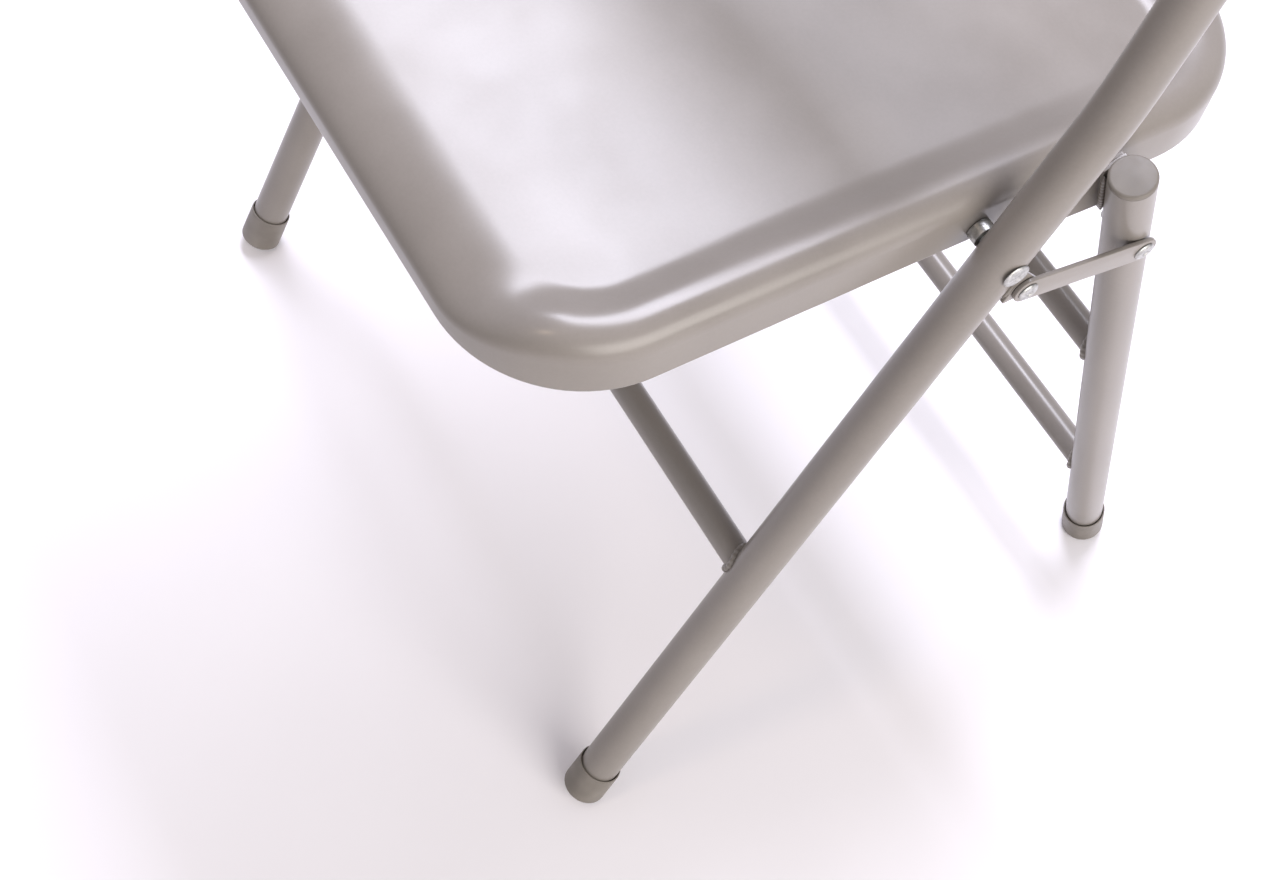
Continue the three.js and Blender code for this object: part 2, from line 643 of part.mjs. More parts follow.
// ---------- the chair ----------
const rearLean = -rearLegAngle;
const rearMost = rearFootSetback + capEdge + (capRadius - capEdge) * Math.sin(rearLean)
  - (footLift(rearLean) + capEdge) * Math.cos(rearLean);
const chair = new THREE.Group();
chair.add(frontFrame(), seat(), rearFrame(), links());
chair.position.y = -rearMost / 2;
chair.updateMatrixWorld(true);

export default chair;
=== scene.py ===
"""A painted steel folding chair.

Sizes are in millimetres, with +Z up. Until a mesh is placed, y runs rearward from the front edge
of the seat, and z from the floor. Left is the sitter's left, +X.
"""

import json
import math

import bpy
import numpy as np
from mathutils import Matrix, Vector


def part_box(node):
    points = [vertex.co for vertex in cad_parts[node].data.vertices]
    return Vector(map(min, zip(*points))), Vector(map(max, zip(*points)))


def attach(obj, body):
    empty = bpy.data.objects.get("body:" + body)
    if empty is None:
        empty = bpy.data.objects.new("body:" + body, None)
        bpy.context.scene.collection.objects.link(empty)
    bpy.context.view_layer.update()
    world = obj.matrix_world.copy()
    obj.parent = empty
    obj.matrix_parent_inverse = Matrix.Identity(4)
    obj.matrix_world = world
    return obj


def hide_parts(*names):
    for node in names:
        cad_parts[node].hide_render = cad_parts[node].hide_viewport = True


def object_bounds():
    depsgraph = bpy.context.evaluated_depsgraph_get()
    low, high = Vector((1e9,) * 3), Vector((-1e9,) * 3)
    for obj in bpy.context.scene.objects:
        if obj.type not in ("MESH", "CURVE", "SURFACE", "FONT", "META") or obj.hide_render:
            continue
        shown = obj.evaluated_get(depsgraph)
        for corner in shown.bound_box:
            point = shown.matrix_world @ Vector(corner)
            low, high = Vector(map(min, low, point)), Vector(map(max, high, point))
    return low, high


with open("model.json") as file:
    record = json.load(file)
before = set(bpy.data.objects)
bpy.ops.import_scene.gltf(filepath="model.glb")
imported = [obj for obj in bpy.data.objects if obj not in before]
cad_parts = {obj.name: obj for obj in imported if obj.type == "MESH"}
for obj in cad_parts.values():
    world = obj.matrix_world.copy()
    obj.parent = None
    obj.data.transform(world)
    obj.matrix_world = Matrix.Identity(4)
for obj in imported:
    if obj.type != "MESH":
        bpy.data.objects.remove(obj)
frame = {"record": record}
cad_low, cad_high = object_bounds()

MM = 0.001  # metres in a millimetre
SIDES = {"left": 1, "right": -1}


# ---------- sizes taken from the frame ----------
def box_mm(node):
    """The lowest and highest corners of a CAD node, in millimetres."""
    low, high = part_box(node)
    return np.array(low) / MM, np.array(high) / MM


pan_low, pan_high = box_mm("seat_pan")
leg_low, leg_high = box_mm("rear_leg_tube_left")
link_low, link_high = box_mm("folding_link_left")
hinge_low, hinge_high = box_mm("hinge_plate_left")
bracket_low, bracket_high = box_mm("link_bracket_left")
spacer_low, spacer_high = box_mm("seat_pivot_spacer_left")
washer_low, washer_high = box_mm("rear_pivot_washer_left")
stud_low = box_mm("stop_stud_left")[0]
plate_low, plate_high = box_mm("pivot_plate_left")
front_shift = pan_low[1]  # where the seat's front edge stands in the frame

JOINT_PLACES = {
    joint["name"]: np.array(joint["pos_m"]) / MM - [0, front_shift, 0]
    for joint in frame["record"]["behaviour"]["joints"]
}
SEAT_PIVOT = JOINT_PLACES["seat_fold"] * [0, 1, 1]
REAR_PIVOT = JOINT_PLACES["rear_leg_fold"] * [0, 1, 1]
LINK_FRONT = JOINT_PLACES["link_left_swing"] * [0, 1, 1]

SKIRT_X = pan_high[0]
LEG_X = (leg_low[0] + leg_high[0]) / 2
TUBE_RADIUS = (leg_high[0] - leg_low[0]) / 2
BAR_RADIUS = 8.0

# ---------- driving sizes, as in the part ----------
SHEET = 1.2
SEAT_DEPTH = 396.0
SEAT_CORNER = 66.0
SKIRT_HEIGHT = 20.0
RIM_RADIUS = 12.5
RIM_INSET = 37.0
PANEL_HEIGHT = 24.5
FRONT_SKIRT_HEIGHT = 9.0  # where the plain front edge's roll meets its skirt
RIM_FADE_START = 40.0  # along the skirt from each front corner's first point
RIM_FADE_LENGTH = 64.0
LIP_WIDTH = 8.0
LIP_EASE = 0.3  # how far short of its width the lip's edge starts to turn
LIP_BULGE = 0.35  # how far the lip's rounded edge stands past that
PANEL_MARGINS = (14.0, 5.0)  # further inset of the flat panel's two outer rings
PANEL_SAG = 0.6
LIP_BEND = 2.2  # outer radius of the fold under the skirt
PIVOT_ABOVE_EDGE = 9.0
SEAT_EDGE_HEIGHT = 413.0
SEAT_TILT = math.radians(3)
TUBE_WALL = 1.3
BAR_WALL = 1.2
TUBE_EDGE = 0.3  # rounding of a tube's cut ends
LEG_LEAN = math.radians(65.5)
BACK_LEAN = math.radians(74)
BACK_BEND_HEIGHT = 490.0
BACK_BEND_RADIUS = 180.0
TOP_CORNER = 52.0
FRONT_BAR_HEIGHT = 195.0
PANEL_BOTTOM = 636.0
PANEL_TOP = 754.0
PANEL_END_ANGLE = math.radians(14)
PANEL_WRAP = math.radians(62)
PANEL_RIVET_MARGIN = 24.0
HEM_LENGTH = 9.0  # how much of the back rest's edge is rolled back
HEM_TURN = math.radians(165)
HEM_CLEARANCE = 6.0  # from the uprights to where a rolled edge starts
HEM_FADE = 14.0  # over which it reaches its full turn
REAR_FOOT_SETBACK = 400.0
REAR_LEG_OFFSET = 24.0
REAR_LEG_TOP = 12.0
LINK_PIVOT_DOWN = 34.0
REAR_BAR_PLACES = {"upper": 175.0, "lower": 330.0}
GAP = 0.3
PLATE = 2.2
DOUBLING_HALF = 7.0  # half the doubling plates' height
DOUBLING_END = 12.0  # how far they run past each pivot
DOUBLING_CORNER = 2.0
HEAD_THICKNESS = 1.5
PIVOT_SHANK = 3.5
LINK_SHANK = 3.0
SPACER_RADIUS = 6.0
BACK_RIVET_SHANK = 2.5
BACK_RIVET_HEAD = 4.5
BACK_RIVET_DOME = 1.8
BACK_RIVET_TAIL = 4.0  # radius of the head behind the upright
HINGE_PLATE_END = 10.0
HINGE_PAD_HALF = 7.0
HINGE_PAD_TOP = -8.0  # down the leg from its pivot
HINGE_PAD_BOTTOM = 26.0
PLATE_CORNER = 2.0
BRACKET_HALF_FOOT = 9.0
BRACKET_OVERLAP = 1.0
PIVOT_HEAD = 6.5
LINK_HEAD = 5.0
LINK_HALF_WIDTH = 7.0
STOP_RADIUS = 3.0
STOP_REACH = 20.0
STOP_BOSS = 2.5
CAP_WALL = 1.2
CAP_FLOOR = 3.0
CAP_LENGTH = 25.0
CAP_EDGE = 3.0
CAP_SINK = 0.8
CAP_FIT = 0.15  # between a cap and its tube
CAP_RIM = 0.45  # radius of the cap's mouth rim
CAP_DRAFT = 0.1
CAP_MOUTH = 0.25  # how much wider the cap is at its mouth
PLUG_FLANGE = 2.5
PLUG_EDGE = 1.5
PLUG_DEPTH = 14.0
PLATE_EDGE = 0.45  # rounding left by the punch and the paint
COAT_ROUGHNESS = 0.30
WORLD_STRENGTH = 0.62
BEAD_RADIUS = 1.9  # weld beads
BEAD_PITCH = 2.6  # spacing of the ripples along a bead
BEAD_LIFT = 0.4  # from a bar's skin out to the middle of its bead
BEAD_SINK = 0.5  # from the leg's skin in to the middle of the bead
HINGE_BEAD_RADIUS = 1.7
EAR_BEAD_RADIUS = 1.35
ON_AXIS = 0.01  # a lathe profile's radius where it meets its axis
ROUND = 72  # facets round a tube


# ---------- directions and places ----------
def side_vector(angle):
    """The unit vector at that angle above +Y, in the side plane."""
    return np.array([0.0, math.cos(angle), math.sin(angle)])


def turned(v):
    """v a quarter turn from +Y towards +Z."""
    return np.array([0.0, -v[2], v[1]])


X_AXIS = np.array([1.0, 0.0, 0.0])
LEG_UP = side_vector(LEG_LEAN)
LEG_BEHIND = side_vector(LEG_LEAN - math.pi / 2)
BACK_UP = side_vector(BACK_LEAN)
BACK_BEHIND = side_vector(BACK_LEAN - math.pi / 2)
SEAT_REARWARD = side_vector(-SEAT_TILT)
SEAT_UP = turned(SEAT_REARWARD)


def leg_at(height):
    """A point of the front legs' axis at that height. The seat pivot is on it."""
    return SEAT_PIVOT + LEG_UP * (height - SEAT_PIVOT[2]) / LEG_UP[2]


BACK_BEND = leg_at(BACK_BEND_HEIGHT)


def back_at(height):
    """A point of the uprights' axis above their bend."""
    return BACK_BEND + BACK_UP * (height - BACK_BEND[2]) / BACK_UP[2]


REAR_FOOT = np.array([0.0, REAR_FOOT_SETBACK, 0.0])
foot_reach = REAR_FOOT - REAR_PIVOT
REAR_LEG_LENGTH = math.sqrt(foot_reach @ foot_reach - REAR_LEG_OFFSET**2)
REAR_LEG_ANGLE = math.atan2(foot_reach[2], foot_reach[1]) - math.atan2(REAR_LEG_OFFSET, REAR_LEG_LENGTH)
REAR_DOWN = side_vector(REAR_LEG_ANGLE)
REAR_BEHIND = turned(REAR_DOWN)


def rear_leg_at(down, behind=REAR_LEG_OFFSET):
    """A point of the rear legs, from their pivot down the leg and behind it."""
    return REAR_PIVOT + REAR_DOWN * down + REAR_BEHIND * behind


LINK_REAR = rear_leg_at(LINK_PIVOT_DOWN)


# ---------- mesh helpers ----------
def arc(centre, radius, start, stop, steps):
    """Points of a circle's arc in a plane, from one angle to another."""
    angle = np.linspace(start, stop, steps + 1)
    return np.stack([centre[0] + radius * np.cos(angle), centre[1] + radius * np.sin(angle)], -1)


def ring_solid(rings, closed=False):
    """Rings of points joined by quads. Open ends are closed by a fan to the ring's middle."""
    count, size = rings.shape[:2]
    points = rings.reshape(-1, 3)
    row = np.arange(count if closed else count - 1)[:, None] * size
    col = np.arange(size)[None, :]
    next_row = (row + size) % (count * size)
    next_col = (col + 1) % size
    quads = np.stack([row + col, row + next_col, next_row + next_col, next_row + col], -1).reshape(-1, 4)
    triangles = np.zeros((0, 3), int)
    if not closed:
        points = np.vstack([points, rings[0].mean(0), rings[-1].mean(0)])
        first = np.arange(size)
        second = (first + 1) % size
        last = (count - 1) * size
        start_fan = np.stack([second, first, np.full(size, count * size)], -1)
        end_fan = np.stack([first + last, second + last, np.full(size, count * size + 1)], -1)
        triangles = np.vstack([start_fan, end_fan])
    return outward(points, quads, triangles)


def outward(points, quads, triangles):
    """Turns all the faces of a closed solid round if they point inward."""
    corners = np.vstack([quads[:, :3], quads[:, [0, 2, 3]], triangles])
    a, b, c = (points[corners[:, k]] for k in range(3))
    if np.einsum("ij,ij->", a, np.cross(b, c)) < 0:
        quads, triangles = quads[:, ::-1], triangles[:, ::-1]
    return points, quads.tolist() + triangles.tolist()


def together(*solids):
    """Several solids as one mesh."""
    points, faces, start = [], [], 0
    for solid_points, solid_faces in solids:
        points.append(solid_points)
        faces += [[corner + start for corner in face] for face in solid_faces]
        start += len(solid_points)
    return np.vstack(points), faces


def mirrored(solid, sign):
    """The solid on the left or, with its x turned round, on the right, its faces still outward."""
    points, faces = solid
    if sign > 0:
        return solid
    return points * [-1, 1, 1], [face[::-1] for face in faces]


def piece(name, solid, body, material, nodes=(), sharp=32):
    """Puts a solid into the scene, riding on its body in place of the CAD nodes."""
    points, faces = solid
    mesh = bpy.data.meshes.new(name)
    mesh.from_pydata(((points + [0, front_shift, 0]) * MM).tolist(), [], faces)
    mesh.update()
    mesh.shade_smooth()
    mesh.set_sharp_from_angle(angle=math.radians(sharp))
    mesh.materials.append(material)
    made = bpy.data.objects.new(name, mesh)
    bpy.context.scene.collection.objects.link(made)
    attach(made, body)
    if nodes:
        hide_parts(*nodes)
    return made


def lathe(profile, origin, axis, steps=48):
    """A profile of (radius, height) points turned about an axis; it starts and ends on the axis."""
    profile = np.array(profile)
    across = np.cross(axis, X_AXIS if abs(axis[0]) < 0.9 else [0, 1, 0])
    across = across / np.linalg.norm(across)
    other = np.cross(axis, across)
    angle = np.linspace(0, 2 * math.pi, steps, endpoint=False)
    spokes = np.cos(angle)[:, None] * across + np.sin(angle)[:, None] * other
    rings = origin + profile[:, 1, None, None] * np.array(axis) + profile[:, 0, None, None] * spokes
    return ring_solid(rings)


def bent_line(corners, radii, step=math.radians(3)):
    """Points and tangents of straight runs between corners, each corner rounded by an arc."""
    points, tangents = [corners[0][None]], [(corners[1] - corners[0])[None]]
    for before, corner, after, radius in zip(corners, corners[1:], corners[2:], radii):
        coming = (corner - before) / np.linalg.norm(corner - before)
        going = (after - corner) / np.linalg.norm(after - corner)
        half = math.acos(np.clip(coming @ going, -1, 1)) / 2
        inward = (going - coming) / np.linalg.norm(going - coming)
        along = (coming + going) / np.linalg.norm(coming + going)
        turn = np.linspace(-half, half, max(4, round(2 * half / step)))[:, None]
        centre = corner + inward * radius / math.cos(half)
        points.append(centre - inward * radius * np.cos(turn) + along * radius * np.sin(turn))
        tangents.append(along * np.cos(turn) + inward * np.sin(turn))
    points.append(corners[-1][None])
    tangents.append((corners[-1] - corners[-2])[None])
    tangents = np.vstack(tangents)
    return np.vstack(points), tangents / np.linalg.norm(tangents, axis=1, keepdims=True)


def carried_normals(tangents, first):
    """A normal at each station that turns as little as it can along the line."""
    normals = [first]
    for tangent in tangents[1:]:
        normal = normals[-1] - tangent * (normals[-1] @ tangent)
        normals.append(normal / np.linalg.norm(normal))
    return np.array(normals)


def tube(points, tangents, first_normal, radius, wall):
    """A tube's outer skin along a line and its bore back again, closed by the ends' rings."""
    normals = carried_normals(tangents, first_normal)
    across = np.cross(tangents, normals)
    angle = np.linspace(0, 2 * math.pi, ROUND, endpoint=False)[None, :, None]
    spokes = np.cos(angle) * normals[:, None] + np.sin(angle) * across[:, None]
    outer = points[:, None] + radius * spokes
    bore = points[:, None] + (radius - wall) * spokes
    lip = points[:, None] + (radius - TUBE_EDGE) * spokes
    skins = [lip[:1], outer, lip[-1:], bore[::-1]]
    return ring_solid(np.concatenate(skins), closed=True)


def disc_hull(discs, inset=0.0, steps=14):
    """The outline round a row of discs ((y, z), radius), given counter-clockwise, set in by inset."""
    outline = []
    for index, (centre, radius) in enumerate(discs):
        before = np.array(discs[index - 1][0])
        after = np.array(discs[(index + 1) % len(discs)][0])
        centre = np.array(centre)
        angle_in = math.atan2(*(centre - before)[::-1]) - math.pi / 2
        angle_out = math.atan2(*(after - centre)[::-1]) - math.pi / 2
        while angle_out < angle_in:
            angle_out += 2 * math.pi
        outline.append(arc(centre, max(radius - inset, 0.05), angle_in, angle_out, steps))
    return np.vstack(outline)


def plate(discs, from_x, to_x, edge=PLATE_EDGE):
    """A flat plate in the side plane whose edges are rounded by a quarter circle each."""
    quarter = np.linspace(0, math.pi / 2, 5)
    insets = edge * (1 - np.sin(quarter))
    steps_x = edge * (1 - np.cos(quarter))
    stations = [(inset, from_x + step) for inset, step in zip(insets, steps_x)]
    stations += [(inset, to_x - step) for inset, step in zip(insets[::-1], steps_x[::-1])]
    rings = []
    for inset, x in stations:
        outline = disc_hull(discs, inset)
        rings.append(np.column_stack([np.full(len(outline), x), outline]))
    return ring_solid(np.array(rings))


def bead(path, normals, radius=BEAD_RADIUS, seed=0, closed=True):
    """A weld bead: a thin tube along a path, whose radius ripples with each pass of the torch."""
    steps = len(path)
    if closed:
        tangents = np.roll(path, -1, 0) - np.roll(path, 1, 0)
    else:
        tangents = np.gradient(path, axis=0)
    tangents = tangents / np.linalg.norm(tangents, axis=1, keepdims=True)
    across = np.cross(tangents, normals)
    gaps = np.linalg.norm(np.diff(path, axis=0), axis=1)
    length = np.concatenate([[0], np.cumsum(gaps)])
    waves = max(3, round(length[-1] / BEAD_PITCH))
    phase = 2 * math.pi * length / length[-1]
    size = radius * (1 + 0.10 * np.sin(waves * phase + seed) + 0.13 * np.sin(2 * phase + 1.7 * seed))
    if not closed:
        size = size * np.sqrt(np.clip(np.sin(math.pi * (np.arange(steps) + 0.5) / steps), 0.02, 1))
    angle = np.linspace(0, 2 * math.pi, 16, endpoint=False)[None, :, None]
    spokes = np.cos(angle) * normals[:, None] + np.sin(angle) * across[:, None]
    return ring_solid(path[:, None] + size[:, None, None] * spokes, closed=closed)


def linear(hex_colour):
    """An sRGB hex colour as linear light."""
    channels = [int(hex_colour[i : i + 2], 16) / 255 for i in (1, 3, 5)]
    return [c / 12.92 if c <= 0.04045 else ((c + 0.055) / 1.055) ** 2.4 for c in channels] + [1.0]


def add(tree, kind, settings=None, **links):
    """Adds a node, sets its properties and socket values, and links its inputs by socket name."""
    made = tree.nodes.new(kind)
    for name, value in (settings or {}).items():
        if isinstance(name, int) or name in made.inputs:
            made.inputs[name].default_value = value
        else:
            setattr(made, name, value)
    for name, source in links.items():
        tree.links.new(source, made.inputs[name.replace("_", " ")])
    return made


def new_material(name):
    """An empty material, named for the real finish."""
    material = bpy.data.materials.new(name)
    material.use_nodes = True
    material.node_tree.nodes.clear()
    return material, material.node_tree


def grain(tree, size_mm, detail=3.0, roughness=0.5):
    """Noise in object space whose cells are about size_mm across."""
    place = add(tree, "ShaderNodeTexCoord").outputs["Object"]
    settings = {"Scale": 1 / (size_mm * MM), "Detail": detail, "Roughness": roughness}
    return add(tree, "ShaderNodeTexNoise", settings, Vector=place).outputs["Fac"]


def ramp(tree, source, low, high, low_value, high_value):
    """Maps source from low..high to low_value..high_value."""
    settings = {"From Min": low, "From Max": high, "To Min": low_value, "To Max": high_value}
    return add(tree, "ShaderNodeMapRange", settings, Value=source).outputs["Result"]


def blended(tree, factor, first, second):
    """A colour between two hex colours, by a factor from 0 to 1."""
    mix = add(tree, "ShaderNodeMix", {"data_type": "RGBA"})
    tree.links.new(factor, mix.inputs[0])
    mix.inputs[6].default_value = linear(first)
    mix.inputs[7].default_value = linear(second)
    return mix.outputs[2]


def raised(tree, height, depth_mm, strength, under=None):
    """A bump whose full height is depth_mm, laid over another bump's normal if there is one."""
    bump = add(tree, "ShaderNodeBump", {"Strength": strength, "Distance": depth_mm * MM}, Height=height)
    if under is not None:
        tree.links.new(under, bump.inputs["Normal"])
    return bump.outputs["Normal"]


def powder_coat(name, light, dark):
    """Polyester powder coat, baked: a semi-gloss plastic skin with a fine orange peel.

    The flow-out leaves ripples 2 to 3 mm across and a few micrometres high, and the pigment gives
    a faintly uneven warm grey.
    """
    material, tree = new_material(name)
    tone = ramp(tree, grain(tree, 60, 4), 0.35, 0.65, 0, 1)
    speck = ramp(tree, grain(tree, 1.6, 2), 0.3, 0.7, 0, 1)
    shade = add(tree, "ShaderNodeMath", {"operation": "MULTIPLY_ADD", 1: 0.25, 2: 0.0})
    tree.links.new(speck, shade.inputs[0])
    both = add(tree, "ShaderNodeMath", {"operation": "MULTIPLY_ADD", 1: 0.75})
    tree.links.new(tone, both.inputs[0])
    tree.links.new(shade.outputs[0], both.inputs[2])
    colour = blended(tree, both.outputs[0], dark, light)
    gloss = ramp(tree, grain(tree, 30, 2), 0.3, 0.7, COAT_ROUGHNESS - 0.025, COAT_ROUGHNESS + 0.025)
    sheet_wave = raised(tree, grain(tree, 45, 1), 0.12, 0.5)
    peel = raised(tree, grain(tree, 2.4, 2, 0.4), 0.02, 0.35, sheet_wave)
    pits = raised(tree, grain(tree, 1.3, 1, 0.4), 0.006, 0.30, peel)
    shader = add(tree, "ShaderNodeBsdfPrincipled", {"IOR": 1.52, "Specular IOR Level": 0.5},
                 Base_Color=colour, Roughness=gloss, Normal=pits)
    add(tree, "ShaderNodeOutputMaterial", Surface=shader.outputs[0])
    return material


def zinc_plate():
    """Zinc-plated steel: a bluish-white metal, cold-headed, with cloudy crystals and fine scuffs."""
    material, tree = new_material("zinc_plated_steel")
    clouds = ramp(tree, grain(tree, 1.6, 4), 0.3, 0.7, 0, 1)
    colour = blended(tree, clouds, "#9a9a97", "#c6c6c3")
    gloss = ramp(tree, grain(tree, 0.8, 4, 0.6), 0.3, 0.7, 0.28, 0.46)
    scuffs = raised(tree, grain(tree, 0.5, 4, 0.6), 0.01, 0.4)
    shader = add(tree, "ShaderNodeBsdfPrincipled", {"Metallic": 1.0},
                 Base_Color=colour, Roughness=gloss, Normal=scuffs)
    add(tree, "ShaderNodeOutputMaterial", Surface=shader.outputs[0])
    return material


def moulded_polyethylene():
    """Low-density polyethylene, injection moulded: a waxy satin with a spark-eroded mould grain."""
    material, tree = new_material("moulded_polyethylene")
    tone = ramp(tree, grain(tree, 12, 3), 0.3, 0.7, 0, 1)
    colour = blended(tree, tone, "#6d675f", "#7c766e")
    gloss = ramp(tree, grain(tree, 3, 4, 0.6), 0.3, 0.7, 0.42, 0.56)
    mould = raised(tree, grain(tree, 0.45, 2, 0.5), 0.02, 0.35)
    shader = add(tree, "ShaderNodeBsdfPrincipled", {"IOR": 1.51, "Specular IOR Level": 0.45},
                 Base_Color=colour, Roughness=gloss, Normal=mould)
    add(tree, "ShaderNodeOutputMaterial", Surface=shader.outputs[0])
    return material


# ---------- seat ----------
def seat_plan(steps=22, run=30):
    """The skirt's plan outline with its outward normals: four arcs joined by evenly stepped edges."""
    across, deep = SKIRT_X - SEAT_CORNER, SEAT_DEPTH - SEAT_CORNER
    corners = [(across, SEAT_CORNER), (across, deep), (-across, deep), (-across, SEAT_CORNER)]
    points, normals = [], []
    for index, (x, y) in enumerate(corners):
        start = (index - 1) * math.pi / 2
        normal = arc((0, 0), 1.0, start, start + math.pi / 2, steps)
        rounded = np.array([x, y]) + SEAT_CORNER * normal
        following = np.array(corners[(index + 1) % 4]) + SEAT_CORNER * normal[-1]
        share = np.linspace(0, 1, run + 1)[1:-1, None]
        points += [rounded, rounded[-1] * (1 - share) + following * share]
        normals += [normal, np.repeat(normal[-1:], run - 1, 0)]
    return np.vstack(points), np.vstack(normals)


def seat_profiles():
    """The pan's outer face from the flat panel to the lip, as (inset, height above the lip).

    On the sides and the rear it is the panel, half a cosine wave up to the rim, the roll, the
    skirt and the fold under it. In front a quarter of an ellipse takes the place of the wave and
    the roll. Both have as many points.
    """
    crest = SKIRT_HEIGHT + RIM_RADIUS
    wave = np.linspace(0, 1, 25)
    slope = np.column_stack([
        RIM_INSET + (RIM_RADIUS - RIM_INSET) * wave,
        PANEL_HEIGHT + (crest - PANEL_HEIGHT) * (1 - np.cos(math.pi * wave)) / 2,
    ])
    roll = arc((RIM_RADIUS, SKIRT_HEIGHT), RIM_RADIUS, math.pi / 2, math.pi, 16)[1:]
    fall = arc((0, 0), 1.0, math.pi / 2, math.pi, 40) * [RIM_INSET, PANEL_HEIGHT - FRONT_SKIRT_HEIGHT]
    fall = fall + [RIM_INSET, FRONT_SKIRT_HEIGHT]
    fold = arc((LIP_BEND, LIP_BEND), LIP_BEND, math.pi, 1.5 * math.pi, 6)
    lip = np.array([[LIP_WIDTH - LIP_EASE, 0.0]])
    panel = np.array([[RIM_INSET + margin, PANEL_HEIGHT] for margin in PANEL_MARGINS])
    return np.vstack([panel, slope, roll, fold, lip]), np.vstack([panel, fall, fold, lip])


def both_faces(outer):
    """A sheet's outer face, its edge and its inner face, as one line of (inset, height)."""
    along = np.gradient(outer, axis=0)
    along = along / np.linalg.norm(along, axis=1, keepdims=True)
    inner = outer + SHEET * np.column_stack([-along[:, 1], along[:, 0]])
    edge = (outer[-1] + inner[-1]) / 2 + [LIP_BULGE, 0]
    return np.vstack([outer, edge, inner[::-1]])


def pressed_pan():
    """The seat: its profiles carried round the plan outline, both faces, with the panel closed.

    The raised rim fades into the plain front edge round each front corner, by a smooth step of
    the distance along the skirt. The panel is the innermost ring scaled down to the middle,
    sagging by a parabola.
    """
    points, normals = seat_plan()
    bend = SEAT_CORNER * np.arcsin(np.clip(-normals[:, 1], 0, 1))
    past_bend = (SKIRT_X - SEAT_CORNER - np.abs(points[:, 0])).clip(0) * (normals[:, 1] < 0)
    turn = np.clip((bend + past_bend - RIM_FADE_START) / RIM_FADE_LENGTH, 0, 1)
    share = (turn * turn * (3 - 2 * turn))[None, :, None]
    side, front = (both_faces(profile)[:, None] for profile in seat_profiles())
    section = side * (1 - share) + front * share
    plan = points - np.clip(section[..., :1], 0, SEAT_CORNER - 2) * normals
    rings = np.concatenate([plan, section[..., 1:]], axis=2)
    shares = np.linspace(0.04, 0.93, 16)[:, None, None]
    middle = rings[0].mean(0)
    top = middle + (rings[0] - middle) * shares
    under = middle + (rings[-1] - middle) * shares[::-1]
    under[:, :, 2] = rings[-1][0, 2]
    sag = PANEL_SAG * (1 - shares[:, :, 0] ** 2)
    top[:, :, 2] -= sag
    under[:, :, 2] -= sag[::-1]
    rings = np.concatenate([top, rings, under])
    local = rings - [0, 0, PIVOT_ABOVE_EDGE]
    return ring_solid(to_seat(local))


def to_seat(local):
    """Points (x, behind the front edge, above the pivot) of the level seat, tilted into place."""
    front = -(SEAT_PIVOT[1] * math.cos(SEAT_TILT)
              - (SEAT_PIVOT[2] - SEAT_EDGE_HEIGHT) * math.sin(SEAT_TILT))
    return (SEAT_PIVOT + local[..., 0:1] * X_AXIS
            + (local[..., 1:2] + front) * SEAT_REARWARD + local[..., 2:3] * SEAT_UP)


def rivet(point, inner_x, outer_x, shank, head, sign):
    """A rivet along X: a flat factory head inside and a domed, slightly spread head outside."""
    thick = HEAD_THICKNESS
    dome = arc((0, 0), 1.0, 0, math.pi / 2, 10) * [head, thick] + [0, outer_x]
    tail = [[ON_AXIS, inner_x - thick], [head - 0.9, inner_x - thick], [head - 0.35, inner_x - thick * 0.85],
            [head, inner_x - thick * 0.35], [head, inner_x], [shank, inner_x], [shank, outer_x],
            [head - 0.15, outer_x]]
    upset = [[shank * 0.62, outer_x + thick * 0.80], [shank * 0.45, outer_x + thick * 0.55],
             [ON_AXIS, outer_x + thick * 0.50]]
    rim = dome[dome[:, 0] > shank * 0.7]
    solid = lathe(np.vstack([tail, rim, upset]), point, X_AXIS)
    return mirrored(solid, sign)


def collar(point, from_x, to_x, bore, radius, sign):
    """A turned spacer along X with its outer edges eased."""
    ease = 0.25
    profile = np.array([[bore, from_x], [radius - ease, from_x], [radius, from_x + ease],
                        [radius, to_x - ease], [radius - ease, to_x], [bore, to_x]])
    angle = np.linspace(0, 2 * math.pi, 48, endpoint=False)
    spokes = np.column_stack([np.zeros(48), np.cos(angle), np.sin(angle)])
    rings = point + profile[:, 1, None, None] * X_AXIS + profile[:, 0, None, None] * spokes
    return mirrored(ring_solid(rings, closed=True), sign)


def doubling_plate():
    """The plate that stiffens the skirt from one of the seat's pivots to the other."""
    front = SEAT_PIVOT - SEAT_REARWARD * (DOUBLING_END - DOUBLING_CORNER)
    rear = REAR_PIVOT + SEAT_REARWARD * (DOUBLING_END - DOUBLING_CORNER)
    rise = SEAT_UP * (DOUBLING_HALF - DOUBLING_CORNER)
    centres = [front - rise, rear - rise, rear + rise, front + rise]
    return plate([(centre[1:], DOUBLING_CORNER) for centre in centres], plate_low[0], plate_high[0])


def seat_pieces(paint, zinc):
    """The seat with the doubling plates inside its skirt and the rear legs' pivots."""
    piece("seat_pressing", pressed_pan(), "seat", paint, ["seat_pan"])
    for side, sign in SIDES.items():
        doubling = mirrored(doubling_plate(), sign)
        piece(f"doubling_plate_{side}", doubling, "seat", paint, [f"pivot_plate_{side}"])
        pin = rivet(REAR_PIVOT, plate_low[0] - GAP, hinge_low[0] + PLATE + GAP, PIVOT_SHANK, PIVOT_HEAD, sign)
        piece(f"rear_hinge_rivet_{side}", pin, "seat", zinc, [f"rear_pivot_rivet_{side}"])
        ring = collar(REAR_PIVOT, washer_low[0], washer_high[0], PIVOT_SHANK + GAP, SPACER_RADIUS, sign)
        piece(f"rear_hinge_washer_{side}", ring, "seat", zinc, [f"rear_pivot_washer_{side}"])


# ---------- tubes ----------
CAP_RADIUS = TUBE_RADIUS + GAP + CAP_WALL


